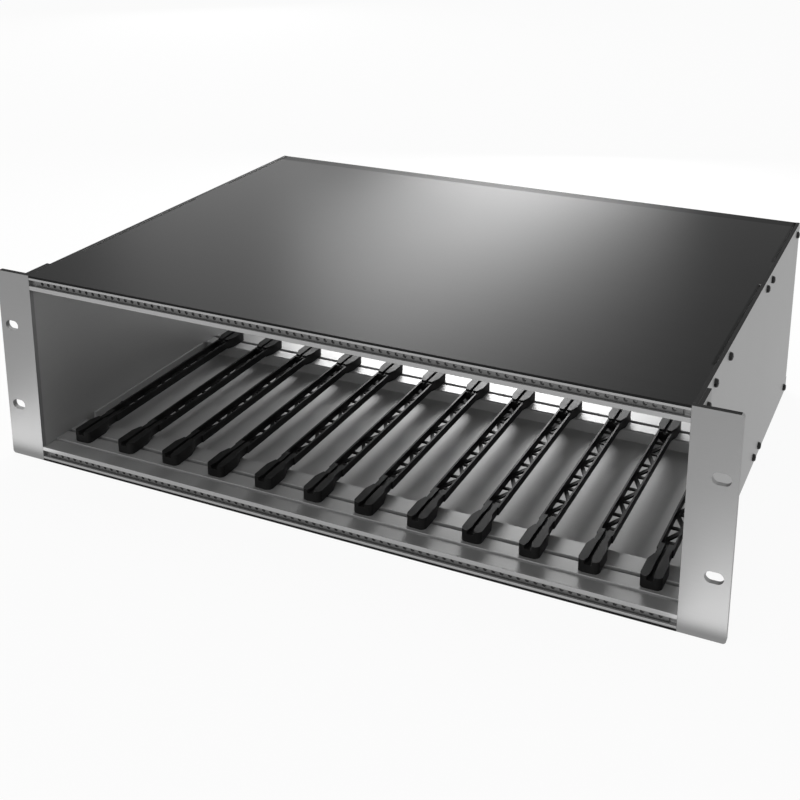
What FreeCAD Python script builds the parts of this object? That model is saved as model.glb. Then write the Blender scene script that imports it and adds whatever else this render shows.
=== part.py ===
import math
import os

import FreeCAD
import Part
from FreeCAD import Vector

os.makedirs("parts", exist_ok=True)

# Sizes in mm. X runs along the front, Y from the front face to the back, Z up from the underside.
PANEL_W = 482.6
HEIGHT = 132.5
DEPTH = 330.0
MID_Z = HEIGHT / 2

# Sheet parts
EAR_W = 26.3
BAY_HALF = PANEL_W / 2 - EAR_W
SIDE_T = 2.5
SIDE_HALF = BAY_HALF + SIDE_T
COVER_T = 1.5
FOLD_INNER_R = 0.8
FOLD_STEPS = 4
EAR_T = 3.5
EAR_LEG_T = 2.5
EAR_LEG_DEPTH = 24.0
EAR_CORNER_R = 2.0
SLOT_EDGE = 8.75
SLOT_X = PANEL_W / 2 - SLOT_EDGE
SLOT_PITCH_Z = 57.15
SLOT_LEN = 10.3
SLOT_H = 6.8
REAR_FLANGE_H = 10.0
SIDE_FLANGE_H = 10.0

# Rails
RAIL_TOP = 10.0
FRONT_RAIL_Y1 = 49.0
REAR_RAIL_Y0 = 194.0
REAR_RAIL_Y1 = 229.0
CLIP_GROOVE_W = 3.6
CLIP_GROOVE_FLOOR = 6.0
FRONT_CLIP_Y = 27.5
REAR_CLIP_Y = 207.0
STRIP_LIP_T = 1.6
STRIP_CAVITY_Y = 4.2
STRIP_CAVITY_Z = (2.4, 7.8)
STRIP_OPENING_Z = (3.0, 7.2)
STRIP_T = 2.0
STRIP_END_GAP = 4.5
STRIP_HALF = BAY_HALF - STRIP_END_GAP
STRIP_GAP = 0.1

# Board guides
GUIDES = 12
GUIDE_EDGE = 19.42
GUIDE_PITCH = 2 * (BAY_HALF - GUIDE_EDGE) / (GUIDES - 1)
GUIDE_TOP = 17.6
BODY_TOP = 16.6
BODY_BOTTOM = 11.4
BODY_HALF = 4.9
BODY_WALL = 1.2
WEB_T = 1.4
HEAD_HALF = 6.4
FRONT_HEAD = (16.5, 41.0)
FRONT_HEAD_R = 3.4
REAR_HEAD = (190.5, 215.0)
REAR_HEAD_R = 5.8
HEAD_TAPER = (2.2, 7.0)
NECK_HALF = 4.2
END_BLOCK = 5.5
RAIL_GAP = 0.5
BOARD_GROOVE_W = 2.2
BOARD_GROOVE_FLOOR = 15.3
LEAD_IN = 4.0
LEAD_IN_W = 5.0
CLIP_GAP = 0.2
CLIP_HALF = 2.6
TRUSS_COUNT = 8
TRUSS_STRUT = 4.2

# Screws
SCREW_Z = 6.1
SHANK_R = 1.25
HOLE_R = 1.35
HEAD_SCREW_R = 2.5
HEAD_SCREW_H = 1.9
HEAD_SCREW_EDGE = 0.6
HEAD_SIDES = 10
SHANK_SIDES = 6
HOLE_SIDES = 8
THREAD_IN_RAIL = 8.0
THREAD_PAST_FLANGE = 1.5
EAR_SCREW_Y = 15.0
RAIL_SCREW_Y = (44.8, 199.0, 217.4)
COVER_SCREW_Y = (83.0, DEPTH - 12.0)

# Turned-up sides of the covers, between and behind the rails
FLANGE_END_GAP = 5.0
SIDE_FLANGE_SPANS = (
    (FRONT_RAIL_Y1 + FLANGE_END_GAP, REAR_RAIL_Y0 - FLANGE_END_GAP),
    (REAR_RAIL_Y1 + FLANGE_END_GAP, DEPTH - COVER_T - FLANGE_END_GAP / 2),
)

BOTH = (1, -1)


def box(x0, x1, y0, y1, z0, z1):
    return Part.makeBox(x1 - x0, y1 - y0, z1 - z0, Vector(x0, y0, z0))


def prism_x(points, x0, x1):
    loop = [Vector(x0, y, z) for y, z in points]
    face = Part.Face(Part.makePolygon(loop + loop[:1]))
    return face.extrude(Vector(x1 - x0, 0, 0))


def prism_y(points, y0, y1):
    loop = [Vector(x, y0, z) for x, z in points]
    face = Part.Face(Part.makePolygon(loop + loop[:1]))
    return face.extrude(Vector(0, y1 - y0, 0))


def prism_z(points, z0, z1):
    loop = [Vector(x, y, z0) for x, y in points]
    face = Part.Face(Part.makePolygon(loop + loop[:1]))
    return face.extrude(Vector(0, 0, z1 - z0))


def ring(x, y, z, radius, sides):
    turn = 2 * math.pi / sides
    angles = [(k + 0.5) * turn for k in range(sides)]
    return [Vector(x, y + radius * math.cos(a), z + radius * math.sin(a)) for a in angles]


def pin_x(x0, x1, y, z, radius, sides):
    loop = ring(x0, y, z, radius, sides)
    return Part.Face(Part.makePolygon(loop + loop[:1])).extrude(Vector(x1 - x0, 0, 0))


def hole_x(x0, x1, y, z):
    radius = HOLE_R / math.cos(math.pi / HOLE_SIDES)
    return pin_x(x0, x1, y, z, radius, HOLE_SIDES)


def to_top(shape):
    return shape.mirror(Vector(0, 0, MID_Z), Vector(0, 0, 1))


def to_left(shape):
    return shape.mirror(Vector(0, 0, 0), Vector(1, 0, 0))


def one_solid(shape):
    return shape.removeSplitter().Solids[0]


def joined(shapes):
    return one_solid(shapes[0].fuse(shapes[1:]))


def save(name, shape):
    placed = shape.copy()
    placed.translate(Vector(0, -DEPTH / 2, 0))
    placed.exportStep("parts/" + name + ".step")


def save_pair(name, shape):
    save(name + "_bottom", shape)
    save(name + "_top", to_top(shape))


def screw_holes(ys, x0, x1):
    return [hole_x(x0, x1, y, z) for y in ys for z in (SCREW_Z, HEIGHT - SCREW_Z)]


def side_plate():
    plate = box(BAY_HALF, SIDE_HALF, EAR_T, DEPTH - COVER_T, 0, HEIGHT)
    ys = (EAR_SCREW_Y,) + RAIL_SCREW_Y + COVER_SCREW_Y
    return one_solid(plate.cut(screw_holes(ys, BAY_HALF - 1, SIDE_HALF + 1)))


def mounting_ear():
    face = box(BAY_HALF, PANEL_W / 2, 0, EAR_T, 0, HEIGHT)
    corners = [e for e in face.Edges if abs(e.BoundBox.XMin - PANEL_W / 2) < 1e-6 and e.BoundBox.YLength > 1]
    face = face.makeFillet(EAR_CORNER_R, corners)
    leg = box(SIDE_HALF, SIDE_HALF + EAR_LEG_T, EAR_T, EAR_LEG_DEPTH, 0, HEIGHT)
    ear = face.fuse(leg)
    tools = screw_holes((EAR_SCREW_Y,), SIDE_HALF - 1, SIDE_HALF + EAR_LEG_T + 1)
    for side in BOTH:
        tools.append(slot(SLOT_X, MID_Z + side * SLOT_PITCH_Z / 2))
    return one_solid(ear.cut(tools).removeSplitter())


def slot(x, z):
    radius = SLOT_H / 2
    reach = SLOT_LEN / 2 - radius
    ends = [Part.makeCylinder(radius, EAR_T + 2, Vector(x + s * reach, -1, z), Vector(0, 1, 0)) for s in BOTH]
    middle = box(x - reach, x + reach, -1, EAR_T + 1, z - radius, z + radius)
    return middle.fuse(ends)


def strip_channel(y_face, inward):
    lip_y = y_face + inward * STRIP_LIP_T
    back_y = y_face + inward * STRIP_CAVITY_Y
    low, high = STRIP_CAVITY_Z
    open_low, open_high = STRIP_OPENING_Z
    return [
        (y_face, open_low),
        (lip_y, open_low),
        (lip_y, low),
        (back_y, low),
        (back_y, high),
        (lip_y, high),
        (lip_y, open_high),
        (y_face, open_high),
    ]


def clip_groove(y):
    half = CLIP_GROOVE_W / 2
    return [
        (y + half, RAIL_TOP),
        (y + half, CLIP_GROOVE_FLOOR),
        (y - half, CLIP_GROOVE_FLOOR),
        (y - half, RAIL_TOP),
    ]


def front_rail():
    points = [(0, COVER_T)] + strip_channel(0, 1)
    points += [(0, RAIL_TOP), (2.5, RAIL_TOP), (2.5, 9.3), (12.6, 9.3)]
    points += [(12.6, 8.2), (14.0, 8.2), (14.0, RAIL_TOP)]
    points += reversed(clip_groove(FRONT_CLIP_Y))
    points += [(45.0, RAIL_TOP), (FRONT_RAIL_Y1, RAIL_TOP - 4.0), (FRONT_RAIL_Y1, COVER_T)]
    return with_screw_holes(points, (EAR_SCREW_Y, RAIL_SCREW_Y[0]))


def rear_rail():
    points = [(REAR_RAIL_Y1, COVER_T)] + strip_channel(REAR_RAIL_Y1, -1)
    points += [(REAR_RAIL_Y1, RAIL_TOP)]
    points += clip_groove(REAR_CLIP_Y)
    points += [(REAR_RAIL_Y0 + 1.0, RAIL_TOP), (REAR_RAIL_Y0, RAIL_TOP - 1.0), (REAR_RAIL_Y0, COVER_T)]
    return with_screw_holes(points, RAIL_SCREW_Y[1:])


def with_screw_holes(points, ys):
    rail = prism_x(points, -BAY_HALF, BAY_HALF)
    depth = THREAD_IN_RAIL + 0.5
    tools = [hole_x(BAY_HALF - depth, BAY_HALF + 1, y, SCREW_Z) for y in ys]
    tools += [to_left(tool) for tool in tools]
    return one_solid(rail.cut(tools))


def threaded_strip(y_face, inward):
    back = y_face + inward * STRIP_CAVITY_Y
    front = back - inward * STRIP_T
    low = STRIP_CAVITY_Z[0] + STRIP_GAP
    high = STRIP_CAVITY_Z[1] - STRIP_GAP
    return box(-STRIP_HALF, STRIP_HALF, min(back, front), max(back, front), low, high)


def fold(start, edge, top):
    """Section of a sheet that lies flat from start and is turned up at edge, to the height top."""
    outer_r = COVER_T + FOLD_INNER_R
    turns = [k * math.pi / 2 / FOLD_STEPS for k in range(FOLD_STEPS + 1)]

    def arc(radius):
        return [(edge - outer_r + radius * math.sin(t), outer_r - radius * math.cos(t)) for t in turns]

    outside = [(start, 0)] + arc(outer_r) + [(edge, top)]
    return outside + [(edge - COVER_T, top)] + arc(FOLD_INNER_R)[::-1] + [(start, COVER_T)]


def cover():
    outer_r = COVER_T + FOLD_INNER_R
    sheet = prism_x(fold(0, DEPTH, REAR_FLANGE_H), -BAY_HALF, BAY_HALF)
    turned = [box(BAY_HALF, SIDE_HALF, DEPTH - COVER_T, DEPTH, outer_r, REAR_FLANGE_H)]
    notches = []
    for (y0, y1), screw_y in zip(SIDE_FLANGE_SPANS, COVER_SCREW_Y):
        notches.append(box(BAY_HALF - outer_r, BAY_HALF + 1, y0, y1, -1, COVER_T + 1))
        flange = prism_y(fold(BAY_HALF - outer_r, BAY_HALF, COVER_T + SIDE_FLANGE_H), y0, y1)
        turned.append(flange.cut(hole_x(BAY_HALF - COVER_T - 1, BAY_HALF + 1, screw_y, SCREW_Z)))
    sheet = sheet.cut(notches + [to_left(notch) for notch in notches])
    return joined([sheet] + turned + [to_left(part) for part in turned])


def head(span, outer, radius, steps):
    outer_y = span[outer]
    inner_y = span[1 - outer]
    inward = 1 if inner_y > outer_y else -1
    right = []
    for k in range(steps + 1):
        turn = k * math.pi / 2 / steps
        across = radius * (1 - math.sin(turn))
        along = radius * (1 - math.cos(turn))
        right.append((HEAD_HALF - across, outer_y + inward * along))
    narrowing, length = HEAD_TAPER
    right += [(HEAD_HALF, inner_y - inward * length), (HEAD_HALF - narrowing, inner_y)]
    left = [(-x, y) for x, y in reversed(right)]
    return prism_z(right + left, RAIL_TOP, GUIDE_TOP)


def clip(y):
    half = CLIP_GROOVE_W / 2 - CLIP_GAP
    return box(-CLIP_HALF, CLIP_HALF, y - half, y + half, CLIP_GROOVE_FLOOR + CLIP_GAP, RAIL_TOP + 1)


def truss_openings(y0, y1):
    inner = BODY_HALF - BODY_WALL
    step = (y1 - y0) / TRUSS_COUNT
    openings = []
    for k in range(TRUSS_COUNT):
        side = -1 if k % 2 else 1
        middle = y0 + (k + 0.5) * step
        half = step - TRUSS_STRUT
        low = max(middle - half, y0 + 0.4)
        high = min(middle + half, y1 - 0.4)
        base_x = side * (inner - 0.1)
        points = [(base_x, low), (base_x, high), (-side * (inner - 0.9), middle)]
        openings.append(prism_z(points, BODY_BOTTOM - 1, BODY_TOP))
    return openings


def guide():
    body_y0 = FRONT_RAIL_Y1 + RAIL_GAP
    body_y1 = REAR_RAIL_Y0 - RAIL_GAP
    open_y0 = body_y0 + END_BLOCK
    open_y1 = body_y1 - END_BLOCK
    inner = BODY_HALF - BODY_WALL
    body = box(-BODY_HALF, BODY_HALF, body_y0, body_y1, BODY_BOTTOM, BODY_TOP)
    body = body.cut(box(-inner, inner, open_y0, open_y1, BODY_BOTTOM + WEB_T, BODY_TOP + 1))
    body = body.cut(truss_openings(open_y0, open_y1))
    pieces = [
        head(FRONT_HEAD, 0, FRONT_HEAD_R, 3),
        box(-NECK_HALF, NECK_HALF, FRONT_HEAD[1] - 1, body_y0 + 1, BODY_BOTTOM, BODY_TOP),
        body,
        head(REAR_HEAD, 1, REAR_HEAD_R, 3),
        clip(FRONT_CLIP_Y),
        clip(REAR_CLIP_Y),
    ]
    whole = joined(pieces)
    half = BOARD_GROOVE_W / 2
    groove = box(-half, half, FRONT_HEAD[0] - 1, REAR_HEAD[1] + 1, BOARD_GROOVE_FLOOR, GUIDE_TOP + 1)
    flare = [
        (-LEAD_IN_W / 2, FRONT_HEAD[0] - 1),
        (LEAD_IN_W / 2, FRONT_HEAD[0] - 1),
        (half, FRONT_HEAD[0] + LEAD_IN),
        (-half, FRONT_HEAD[0] + LEAD_IN),
    ]
    lead_in = prism_z(flare, BOARD_GROOVE_FLOOR, GUIDE_TOP + 1)
    return one_solid(whole.cut([groove, lead_in]).removeSplitter())


def screw(seat_x, shank, y, z):
    top = seat_x + HEAD_SCREW_H
    rim = top - HEAD_SCREW_EDGE
    edge = [
        ring(rim, y, z, HEAD_SCREW_R, HEAD_SIDES),
        ring(top, y, z, HEAD_SCREW_R - HEAD_SCREW_EDGE, HEAD_SIDES),
    ]
    crown = Part.makeLoft([Part.makePolygon(loop + loop[:1]) for loop in edge], True, True)
    body = pin_x(seat_x, rim, y, z, HEAD_SCREW_R, HEAD_SIDES)
    return joined([body, crown, pin_x(seat_x - shank, seat_x, y, z, SHANK_R, SHANK_SIDES)])


def screw_group(ys, seat_x, shank):
    return Part.makeCompound([screw(seat_x, shank, y, z) for y in ys for z in (SCREW_Z, HEIGHT - SCREW_Z)])


def save_sides(name, shape):
    save(name + "_right", shape)
    save(name + "_left", to_left(shape))


save_sides("side_plate", side_plate())
save_sides("mounting_ear", mounting_ear())
save_pair("front_rail", front_rail())
save_pair("rear_rail", rear_rail())
save_pair("front_strip", threaded_strip(0, 1))
save_pair("rear_strip", threaded_strip(REAR_RAIL_Y1, -1))
save("bottom_cover", cover())
save("top_cover", to_top(cover()))

lower_guide = guide()
upper_guide = to_top(lower_guide)
for number in range(GUIDES):
    shift = Vector((number - (GUIDES - 1) / 2) * GUIDE_PITCH, 0, 0)
    for row, model in (("lower", lower_guide), ("upper", upper_guide)):
        placed = model.copy()
        placed.translate(shift)
        save("guide_%s_%02d" % (row, number + 1), placed)

ear_seat = SIDE_HALF + EAR_LEG_T
save_sides("ear_screws", screw_group((EAR_SCREW_Y,), ear_seat, EAR_LEG_T + SIDE_T + THREAD_IN_RAIL))
save_sides("rail_screws", screw_group(RAIL_SCREW_Y, SIDE_HALF, SIDE_T + THREAD_IN_RAIL))
cover_shank = SIDE_T + COVER_T + THREAD_PAST_FLANGE
save_sides("cover_screws", screw_group(COVER_SCREW_Y, SIDE_HALF, cover_shank))
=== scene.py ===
import math

import bpy
from mathutils import Matrix, Vector


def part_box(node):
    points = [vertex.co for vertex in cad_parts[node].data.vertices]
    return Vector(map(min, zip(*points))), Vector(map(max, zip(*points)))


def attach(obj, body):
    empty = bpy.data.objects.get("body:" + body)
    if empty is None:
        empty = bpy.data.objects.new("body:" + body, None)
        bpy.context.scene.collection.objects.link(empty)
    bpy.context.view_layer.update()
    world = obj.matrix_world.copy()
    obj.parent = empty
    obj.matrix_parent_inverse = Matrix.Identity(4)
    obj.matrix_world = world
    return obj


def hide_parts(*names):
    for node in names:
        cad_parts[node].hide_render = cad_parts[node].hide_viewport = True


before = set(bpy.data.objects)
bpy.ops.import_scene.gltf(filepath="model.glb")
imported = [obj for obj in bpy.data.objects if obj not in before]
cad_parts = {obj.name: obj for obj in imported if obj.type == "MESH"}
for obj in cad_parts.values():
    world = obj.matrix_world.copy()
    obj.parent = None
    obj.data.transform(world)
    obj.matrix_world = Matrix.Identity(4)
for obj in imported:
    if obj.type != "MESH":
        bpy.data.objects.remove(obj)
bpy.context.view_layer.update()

# Sizes in mm. Screws and windows are placed by their distance from the front face.
MM = 0.001
HALF_DEPTH = 165.0
MID_Z = 66.25

# Sheets
SIDE_T = 2.5
SIDE_HALF = 217.5
EAR_LEG_T = 2.5
COVER_T = 1.5
# Width of the band along a cover's rear edge that is painted dark: painted shade in place of the dark
# reflection in the bend of its rear flange.
SHADE_BAND_WIDTH = 13.0
SHADE_BAND_START = HALF_DEPTH - SHADE_BAND_WIDTH

# Screws
SCREW_Z = 6.1
SCREW_ROWS = (SCREW_Z, 2 * MID_Z - SCREW_Z)
EAR_SCREW_Y = (15.0,)
RAIL_SCREW_Y = (44.8, 199.0, 217.4)
COVER_SCREW_Y = (83.0, 318.0)
THREAD_IN_RAIL = 8.0
THREAD_PAST_COVER = 1.5
SCREW_HEAD_R = 2.5
SCREW_HEAD_H = 1.9
SCREW_HEAD_ROUND = 1.2
SCREW_SHANK_R = 1.25
RECESS_SPAN = 2.8
RECESS_WIDTH = 0.6
RECESS_DEPTH = 1.0

# Board guides
GUIDES = 12
WINDOWS = 8
WINDOWS_Y = (55.0, 188.0)
RUNG_Z = 12.1
RUNG_T = 1.2
RUNG_SPAN = 7.8
RUNG_WIDTH = 2.6

# Threaded strips
STRIP_PITCH = 5.08
STRIP_HOLE_R = 1.15
STRIP_PLAIN_END = 3.0

# Softened edges
EDGE = 0.25
EAR_EDGE = 0.35
STRIP_EDGE = 0.12
RUNG_EDGE = 0.2
SHANK_EDGE = 0.3
EDGE_ANGLE = math.radians(35)
SMOOTH_ANGLE = math.radians(40)
FLAT_ANGLE = math.radians(0.5)
FLAT_FACE_WEIGHT = 80

# Faces are picked by where they lie and where they look
SLACK = 0.1
COVER_RIM = 2.0
LOOKS_ALONG = 0.9

# Scales of the grain in metal, small along its streaks
LEVEL_GRAIN = (60, 60, 2500)
COVER_GRAIN = (12, 1400, 1400)
DRAWN_GRAIN = (12, 1800, 1800)
STRIP_GRAIN = (40, 900, 900)
EDGE_GRAIN = (300, 300, 300)
SCREW_GRAIN = (700, 700, 700)
NO_STREAKS = (1, 1, 1)
PATTERN_RANGE = (0.3, 0.7)


# Materials


def new_material(name):
    mat = bpy.data.materials.new(name)
    mat.use_nodes = True
    tree = mat.node_tree
    return mat, tree, tree.nodes["Principled BSDF"]


def add_node(tree, kind, **values):
    node = tree.nodes.new(kind)
    for key, value in values.items():
        node.inputs[key].default_value = value
    return node


def math_node(tree, operation, first, second):
    """One step of arithmetic on a socket and either another socket or a number."""
    node = tree.nodes.new("ShaderNodeMath")
    node.operation = operation
    tree.links.new(first, node.inputs[0])
    if isinstance(second, float):
        node.inputs[1].default_value = second
    else:
        tree.links.new(second, node.inputs[1])
    return node.outputs[0]


def mixed_shaders(tree, share, first, second):
    node = tree.nodes.new("ShaderNodeMixShader")
    for source, socket in zip((share, first, second), node.inputs):
        tree.links.new(source, socket)
    return node.outputs[0]


def noise(tree, stretch, **values):
    """A pattern fixed to the piece, finer along the axes with the larger numbers."""
    coords = tree.nodes.new("ShaderNodeTexCoord")
    mapping = add_node(tree, "ShaderNodeMapping", Scale=stretch)
    pattern = add_node(tree, "ShaderNodeTexNoise", **values)
    tree.links.new(coords.outputs["Object"], mapping.inputs["Vector"])
    tree.links.new(mapping.outputs["Vector"], pattern.inputs["Vector"])
    return pattern.outputs["Fac"]


def ramp(tree, source, low, high):
    """A grey that goes from low to high over the middle of the pattern's range."""
    node = tree.nodes.new("ShaderNodeValToRGB")
    for element, place, shade in zip(node.color_ramp.elements, PATTERN_RANGE, (low, high)):
        element.position = place
        element.color = (shade, shade, shade, 1)
    tree.links.new(source, node.inputs["Fac"])
    return node.outputs["Color"]


def vary(tree, shader, pattern, shade, rough):
    """Shade and rough are each a middle value and a spread, and follow the pattern."""
    for socket, (middle, spread) in (("Base Color", shade), ("Roughness", rough)):
        tree.links.new(ramp(tree, pattern, middle - spread, middle + spread), shader.inputs[socket])


def add_relief(tree, shader, height, strength, depth):
    relief = add_node(tree, "ShaderNodeBump", Strength=strength, Distance=depth * MM)
    tree.links.new(height, relief.inputs["Height"])
    tree.links.new(relief.outputs["Normal"], shader.inputs["Normal"])


def grained_metal(name, shade, rough, grain, bump, metallic=1.0, specular=0.5):
    """Drawn or brushed metal, or a coat on it."""
    mat, tree, shader = new_material(name)
    streaks = noise(tree, grain, Scale=1.0, Detail=4.0, Roughness=0.6)
    clouds = noise(tree, NO_STREAKS, Scale=14.0, Detail=3.0)
    mean = math_node(tree, "MULTIPLY", math_node(tree, "ADD", streaks, clouds), 0.5)
    vary(tree, shader, mean, shade, rough)
    shader.inputs["Metallic"].default_value = metallic
    shader.inputs["Specular IOR Level"].default_value = specular
    add_relief(tree, shader, streaks, bump, depth=0.2)
    return mat


def moulded_plastic(name, shade, rough, grain_scale, bump, specular):
    mat, tree, shader = new_material(name)
    grain = noise(tree, NO_STREAKS, Scale=grain_scale, Detail=3.0)
    flow = noise(tree, NO_STREAKS, Scale=60.0, Detail=2.0)
    vary(tree, shader, flow, shade, rough)
    shader.inputs["Specular IOR Level"].default_value = specular
    add_relief(tree, shader, grain, bump, depth=0.15)
    return mat


EAR_METAL = grained_metal("satin_anodised_ear", (0.25, 0.012), (0.5, 0.04), LEVEL_GRAIN, 0.1, 0.75)
SIDE_METAL = grained_metal("satin_side_sheet", (0.3, 0.012), (0.5, 0.04), LEVEL_GRAIN, 0.06)
# The same sheet as the side plate, painted lighter on the inside: painted light in place of the light that
# falls into the bay.
WALL_METAL_PAINTED_LIGHTER = grained_metal("satin_wall_painted_lighter", (0.39, 0.015), (0.5, 0.03), LEVEL_GRAIN, 0.05, 0.82)
RAIL_METAL = grained_metal("drawn_rail_extrusion", (0.34, 0.02), (0.5, 0.05), DRAWN_GRAIN, 0.1, 0.65)
FLOOR_METAL = grained_metal("bare_satin_inside", (0.36, 0.015), (0.62, 0.03), COVER_GRAIN, 0.05, 0.5)
# The threaded strips are painted dark: painted shade in place of the shade in their recess in the rail.
STRIP_METAL_PAINTED_DARK = grained_metal("strip_painted_dark", (0.14, 0.02), (0.42, 0.05), STRIP_GRAIN, 0.1, 0.8)
# The covers are painted dark outside: painted shade in place of the dark room the bare satin sheet
# reflects, with the highlight left to the lamp.
COVER_PAINTED_DARK = grained_metal("satin_cover_painted_dark", (0.015, 0.002), (0.33, 0.01), COVER_GRAIN, 0.02, 0.0, 0.016)
# A band painted darker and duller along the rear edge of each cover: painted shade in place of the dark
# reflection in the bend of its rear flange.
PAINTED_SHADE_BAND = grained_metal("band_painted_dark", (0.012, 0.002), (0.4, 0.03), COVER_GRAIN, 0.04, 0.0, 0.012)
# Top and bottom edges of the upright sheets are painted near black: painted shade in place of the dark
# surroundings they reflect.
PAINTED_DARK_EDGE = grained_metal("edge_painted_dark", (0.008, 0.002), (0.5, 0.05), EDGE_GRAIN, 0.1, 0.0, 0.03)
SCREW_FINISH = grained_metal("black_oxide_screw", (0.014, 0.004), (0.36, 0.06), SCREW_GRAIN, 0.2, 0.3, 0.2)
GUIDE_PLASTIC = moulded_plastic("black_moulded_guide", (0.0084, 0.0028), (0.4, 0.08), 2600.0, 0.2, 0.07)


# Modelling helpers


def select_only(*objects):
    bpy.ops.object.select_all(action="DESELECT")
    for obj in objects:
        obj.select_set(True)
    bpy.context.view_layer.objects.active = objects[0]


def apply_all(obj):
    select_only(obj)
    for modifier in list(obj.modifiers):
        bpy.ops.object.modifier_apply(modifier=modifier.name)


def placed(obj):
    """The object with its place, turn and size moved into its mesh."""
    select_only(obj)
    bpy.ops.object.transform_apply(location=True, rotation=True, scale=True)
    return obj


def add_box(middle, size, turn=(0, 0, 0)):
    bpy.ops.object.select_all(action="DESELECT")
    bpy.ops.mesh.primitive_cube_add(size=1, location=middle, rotation=turn, scale=size)
    return placed(bpy.context.object)


def add_rod(middle, radius, length, turn, sides):
    bpy.ops.object.select_all(action="DESELECT")
    bpy.ops.mesh.primitive_cylinder_add(
        vertices=sides, radius=radius, depth=length, location=middle, rotation=turn
    )
    return placed(bpy.context.object)


def repeat(obj, count, step):
    """The object becomes a row of copies of itself, each a step on from the last."""
    row = obj.modifiers.new("row", "ARRAY")
    row.count = count
    row.use_relative_offset = False
    row.use_constant_offset = True
    row.constant_offset_displace = step
    apply_all(obj)


def cut(obj, tool):
    """The tool's shape is taken out of the object, and the tool is deleted."""
    hole = obj.modifiers.new("cut", "BOOLEAN")
    hole.object = tool
    hole.operation = "DIFFERENCE"
    hole.solver = "EXACT"
    apply_all(obj)
    bpy.data.objects.remove(tool)


def soften(obj, width, segments):
    bevel = obj.modifiers.new("edge", "BEVEL")
    bevel.width = width * MM
    bevel.segments = segments
    bevel.limit_method = "ANGLE"
    bevel.angle_limit = EDGE_ANGLE
    bevel.use_clamp_overlap = True
    apply_all(obj)
    smooth(obj)


def smooth(obj):
    """Round edges shade softly, and flat faces stay flat right up to them."""
    select_only(obj)
    bpy.ops.object.shade_smooth_by_angle(angle=SMOOTH_ANGLE)
    weighted = obj.modifiers.new("flat_faces", "WEIGHTED_NORMAL")
    weighted.mode = "FACE_AREA"
    weighted.weight = FLAT_FACE_WEIGHT
    weighted.keep_sharp = True
    apply_all(obj)


def set_material(obj, mat):
    obj.data.materials.clear()
    obj.data.materials.append(mat)


def own_copy(source):
    """A copy of the object with a mesh of its own."""
    obj = source.copy()
    obj.data = source.data.copy()
    bpy.context.collection.objects.link(obj)
    return obj


def merged_copy(node, name):
    """A copy of a CAD node with its loose triangles joined back into flat faces."""
    obj = own_copy(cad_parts[node])
    obj.name = name
    obj.data.name = name
    obj.parent = None
    obj.matrix_world = Matrix.Identity(4)
    select_only(obj)
    bpy.ops.object.mode_set(mode="EDIT")
    bpy.ops.mesh.select_all(action="SELECT")
    bpy.ops.mesh.remove_doubles(threshold=1e-6)
    bpy.ops.mesh.dissolve_limited(angle_limit=FLAT_ANGLE)
    bpy.ops.object.mode_set(mode="OBJECT")
    return obj


def split_across(obj, y):
    """New edges where the object's faces cross a plane at y."""
    select_only(obj)
    bpy.ops.object.mode_set(mode="EDIT")
    bpy.ops.mesh.select_all(action="SELECT")
    bpy.ops.mesh.bisect(plane_co=(0, y * MM, 0), plane_no=(0, 1, 0))
    bpy.ops.object.mode_set(mode="OBJECT")


def stand_for(obj, slot, *nodes):
    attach(obj, "root")
    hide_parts(*nodes)


def dress(node, mat, slot, width=EDGE, others=(), split=None):
    """The node with its edges softened, and on the faces that others pick a finish of their own, painted
    darker or lighter as painted shade and painted light.
    """
    obj = merged_copy(node, node + "_finished")
    set_material(obj, mat)
    if split:
        split_across(obj, split)
    for number, (other, where) in enumerate(others, 1):
        obj.data.materials.append(other)
        for face in obj.data.polygons:
            if where(face.center / MM, face.normal):
                face.material_index = number
    soften(obj, width, 2)
    stand_for(obj, slot, node)
    return obj


# Faces with a finish of their own, painted darker or lighter as painted shade and painted light


def edge_faces_painted_dark(center, normal):
    """The top and bottom edges of an upright sheet, which are painted dark as painted shade."""
    return abs(normal.z) > LOOKS_ALONG and abs(center.z - MID_Z) > MID_Z - SLACK


def bay_face_painted_lighter(center, normal):
    """The face of a side plate that looks into the bay, which is painted lighter as painted light."""
    return abs(normal.x) > LOOKS_ALONG and abs(center.x) < SIDE_HALF - SIDE_T / 2


def inside(center, normal):
    """The faces of a cover and of its turned-up sides that look into the bay, which stay bare metal while
    the outside is painted dark as painted shade.
    """
    end_of_flange = abs(normal.y) > LOOKS_ALONG and abs(center.y) < HALF_DEPTH - COVER_RIM
    return end_of_flange or normal.dot(Vector((0, 0, MID_Z)) - center) > 0


def in_painted_shade_band(center, normal):
    """The band along the rear edge of a cover, outside, which is painted darker and duller as painted
    shade.
    """
    return center.y > SHADE_BAND_START and abs(center.z - MID_Z) > MID_Z - COVER_T + SLACK


# Sheets and rails

for side in ("left", "right"):
    # Each side plate gets top and bottom edges painted dark as painted shade and an inside painted lighter
    # as painted light.
    finishes_and_painted_shade = [(PAINTED_DARK_EDGE, edge_faces_painted_dark), (WALL_METAL_PAINTED_LIGHTER, bay_face_painted_lighter)]
    dress("side_plate_" + side, SIDE_METAL, "side_aluminium", others=finishes_and_painted_shade)
    dress("mounting_ear_" + side, EAR_METAL, "ear_aluminium", EAR_EDGE, [(PAINTED_DARK_EDGE, edge_faces_painted_dark)])
for level in ("bottom", "top"):
    dress("front_rail_" + level, RAIL_METAL, "rail_aluminium")
    dress("rear_rail_" + level, RAIL_METAL, "rail_aluminium")
    # The covers stay bare metal inside and are painted dark outside as painted shade, with a darker
    # painted band at the rear.
    finishes_and_painted_shade = [(FLOOR_METAL, inside), (PAINTED_SHADE_BAND, in_painted_shade_band)]
    dress(level + "_cover", COVER_PAINTED_DARK, "cover_sheet", others=finishes_and_painted_shade, split=SHADE_BAND_START)


# Threaded strips


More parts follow.
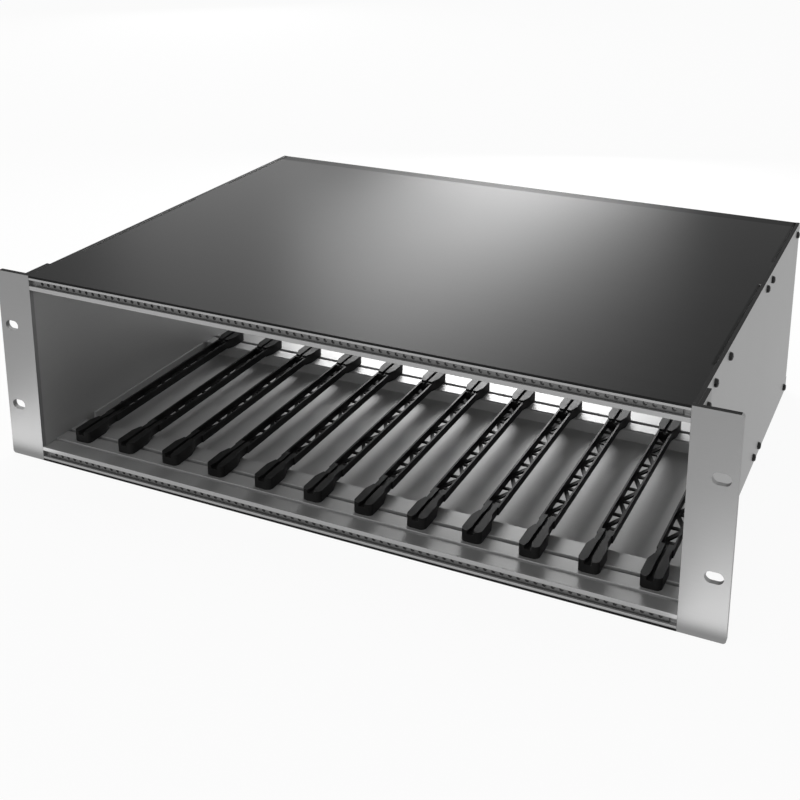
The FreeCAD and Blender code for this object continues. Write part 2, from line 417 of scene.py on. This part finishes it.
def drilled_strip(node):
    low, high = (Vector(corner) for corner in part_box(node))
    size = high - low
    middle = (low + high) / 2
    bar = add_box(middle, size)
    bar.name = node + "_drilled"
    count = int((size.x - 2 * STRIP_PLAIN_END * MM) / (STRIP_PITCH * MM)) + 1
    first_x = middle.x - (count - 1) / 2 * STRIP_PITCH * MM
    first_hole = (first_x, middle.y, middle.z)
    drill = add_rod(first_hole, STRIP_HOLE_R * MM, size.y * 2, (math.pi / 2, 0, 0), 16)
    repeat(drill, count, (STRIP_PITCH * MM, 0, 0))
    cut(bar, drill)
    soften(bar, STRIP_EDGE, 1)
    set_material(bar, STRIP_METAL_PAINTED_DARK)
    stand_for(bar, "strip_steel", node)


for level in ("bottom", "top"):
    drilled_strip("front_strip_" + level)
    drilled_strip("rear_strip_" + level)


# Board guides


def add_rungs(guide, node):
    """A rung across the middle of each window in the guide's openwork."""
    low, high = (Vector(corner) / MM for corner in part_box(node))
    middle_x = (low.x + high.x) / 2
    web_z = RUNG_Z if low.z < MID_Z else 2 * MID_Z - RUNG_Z
    step = (WINDOWS_Y[1] - WINDOWS_Y[0]) / WINDOWS
    first_y = WINDOWS_Y[0] + step / 2 - HALF_DEPTH
    rung = add_box(Vector((middle_x, first_y, web_z)) * MM, Vector((RUNG_SPAN, RUNG_WIDTH, RUNG_T)) * MM)
    soften(rung, RUNG_EDGE, 1)
    repeat(rung, WINDOWS, (0, step * MM, 0))
    set_material(rung, GUIDE_PLASTIC)
    select_only(guide, rung)
    bpy.ops.object.join()
    smooth(guide)


def guide_row(level):
    """One guide is finished, and the others in its row are copies of it, each in its node's place."""
    nodes = ["guide_%s_%02d" % (level, number) for number in range(1, GUIDES + 1)]
    first = dress(nodes[0], GUIDE_PLASTIC, "guide_plastic")
    add_rungs(first, nodes[0])
    start = Vector(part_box(nodes[0])[0])
    for node in nodes[1:]:
        obj = own_copy(first)
        obj.name = node + "_finished"
        obj.data.transform(Matrix.Translation(Vector(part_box(node)[0]) - start))
        stand_for(obj, "guide_plastic", node)


guide_row("lower")
guide_row("upper")


# Screws


def pan_head():
    """A pan head with a cross recess on the X axis, its seat at x = 0."""
    middle = (SCREW_HEAD_H / 2 * MM, 0, 0)
    head = add_rod(middle, SCREW_HEAD_R * MM, SCREW_HEAD_H * MM, (0, math.pi / 2, 0), 28)
    bpy.ops.object.mode_set(mode="EDIT")
    bpy.ops.mesh.select_all(action="DESELECT")
    bpy.ops.object.mode_set(mode="OBJECT")
    top = (SCREW_HEAD_H - SLACK) * MM
    for edge in head.data.edges:
        edge.select = all(head.data.vertices[v].co.x > top for v in edge.vertices)
    bpy.ops.object.mode_set(mode="EDIT")
    bpy.ops.mesh.bevel(offset=SCREW_HEAD_ROUND * MM, segments=5, affect="EDGES")
    bpy.ops.object.mode_set(mode="OBJECT")
    blade = Vector((2 * RECESS_DEPTH, RECESS_SPAN, RECESS_WIDTH)) * MM
    for turn in (0, math.pi / 2):
        cut(head, add_box((SCREW_HEAD_H * MM, 0, 0), blade, (turn, 0, 0)))
    smooth(head)
    return head


def shank(length):
    middle = (-length / 2 * MM, 0, 0)
    rod = add_rod(middle, SCREW_SHANK_R * MM, length * MM, (0, math.pi / 2, 0), 20)
    soften(rod, SHANK_EDGE, 2)
    return rod


def stopping_angle(y, z):
    """The angle at which a screw was left when it was tight, another for each."""
    return math.radians((y * 37 + z * 11) % 90)


def screws(kind, ys, seat, length):
    """The screws of one kind on both sides. Their heads rest at seat, measured from the middle."""
    parts = (pan_head(), shank(length))
    for side, sign in (("right", 1), ("left", -1)):
        outwards = Matrix.Rotation(0 if sign > 0 else math.pi, 4, "Z")
        copies = []
        for y in ys:
            for z in SCREW_ROWS:
                spin = Matrix.Rotation(stopping_angle(y, z), 4, "X")
                place = Matrix.Translation(Vector((sign * seat, y - HALF_DEPTH, z)) * MM)
                for part in parts:
                    copies.append(own_copy(part))
                    copies[-1].data.transform(place @ outwards @ spin)
        select_only(*copies)
        bpy.ops.object.join()
        joined = bpy.context.object
        joined.name = "%s_%s_pan_heads" % (kind, side)
        set_material(joined, SCREW_FINISH)
        stand_for(joined, "screw_black", "%s_%s" % (kind, side))
    for part in parts:
        bpy.data.objects.remove(part)


screws("ear_screws", EAR_SCREW_Y, SIDE_HALF + EAR_LEG_T, EAR_LEG_T + SIDE_T + THREAD_IN_RAIL)
screws("rail_screws", RAIL_SCREW_Y, SIDE_HALF, SIDE_T + THREAD_IN_RAIL)
screws("cover_screws", COVER_SCREW_Y, SIDE_HALF, SIDE_T + COVER_T + THREAD_PAST_COVER)


# Studio, in metres


def seen_directly(tree):
    """1 for rays that carry a picture of the surroundings: camera, glossy and transmission rays."""
    rays = tree.nodes.new("ShaderNodeLightPath").outputs
    camera_or_glossy = math_node(tree, "MAXIMUM", rays["Is Camera Ray"], rays["Is Glossy Ray"])
    return math_node(tree, "MAXIMUM", camera_or_glossy, rays["Is Transmission Ray"])


def studio_floor():
    """A pale floor just under the cage, nearly white where it is seen, which keeps a faint shadow."""
    white_share = 0.93
    bpy.ops.object.select_all(action="DESELECT")
    bpy.ops.mesh.primitive_plane_add(size=12, location=(0, 0, -0.0005))
    floor = bpy.context.object
    floor.name = "studio_floor"
    bpy.ops.object.mode_set(mode="EDIT")
    bpy.ops.mesh.subdivide(number_cuts=3)
    bpy.ops.object.mode_set(mode="OBJECT")
    mat, tree, shader = new_material("white_sweep")
    shader.inputs["Base Color"].default_value = (0.85, 0.85, 0.85, 1)
    shader.inputs["Roughness"].default_value = 0.9
    white = add_node(tree, "ShaderNodeEmission", Color=(1, 1, 1, 1), Strength=1.0)
    share = math_node(tree, "MULTIPLY", seen_directly(tree), white_share)
    surface = mixed_shaders(tree, share, shader.outputs[0], white.outputs[0])
    tree.links.new(surface, tree.nodes["Material Output"].inputs["Surface"])
    set_material(floor, mat)


def studio_world():
    world = bpy.data.worlds.new("white_room")
    bpy.context.scene.world = world
    world.use_nodes = True
    tree = world.node_tree
    ambient = tree.nodes["Background"]
    ambient.inputs["Color"].default_value = (0.5, 0.5, 0.5, 1)
    ambient.inputs["Strength"].default_value = 1.0
    white = add_node(tree, "ShaderNodeBackground", Color=(1, 1, 1, 1), Strength=1.0)
    surface = mixed_shaders(tree, seen_directly(tree), ambient.outputs[0], white.outputs[0])
    tree.links.new(surface, tree.nodes["World Output"].inputs["Surface"])


def soft_light(name, location, target, size, power, roll=0.0):
    data = bpy.data.lights.new(name, "AREA")
    data.shape = "RECTANGLE"
    data.size, data.size_y = size
    data.energy = power
    lamp = bpy.data.objects.new(name, data)
    aim = (Vector(target) - Vector(location)).to_track_quat("-Z", "Y").to_matrix().to_4x4()
    turn = Matrix.Rotation(math.radians(roll), 4, "Z")
    lamp.matrix_world = Matrix.Translation(location) @ aim @ turn
    lamp.visible_camera = False
    bpy.context.collection.objects.link(lamp)


def studio_lights():
    """Two lamps behind the cage, one in front of it, and a small one at the foot of each ear."""
    back_target = (0.543, -1.341, -0.312)
    side_target = (0, 0.05, 0.1325)
    soft_light("back_softbox", (-0.209, 0.636, 0.288), back_target, (0.526, 0.173), 4.9, 40.5)
    soft_light("side_softbox", (-1.152, 1.457, 0.684), side_target, (0.474, 1.2), 4.4)
    soft_light("front_fill", (0.1, -2.0, 0.9), (0, 0, 0.05), (2.0, 1.2), 14)
    for side, x in (("left", -0.244), ("right", 0.244)):
        soft_light("ear_bounce_" + side, (x, -0.222, 0.004), (x, -0.2, 1), (0.065, 0.1), 0.05)


def photo_camera():
    """A camera with the place, turn and lens that were fitted to the photo."""
    data = bpy.data.cameras.new("photo_camera")
    data.sensor_width = 36
    data.lens = 57.02
    data.shift_y = -0.2813
    data.clip_start = 0.01
    data.clip_end = 50
    camera = bpy.data.objects.new("photo_camera", data)
    camera.location = (0.33401, -0.75452, 0.42111)
    camera.rotation_euler = (math.radians(73.974), 0, math.radians(25.605))
    bpy.context.collection.objects.link(camera)
    bpy.context.scene.camera = camera


studio_floor()
studio_world()
studio_lights()
photo_camera()
bpy.context.scene.view_settings.view_transform = "Standard"
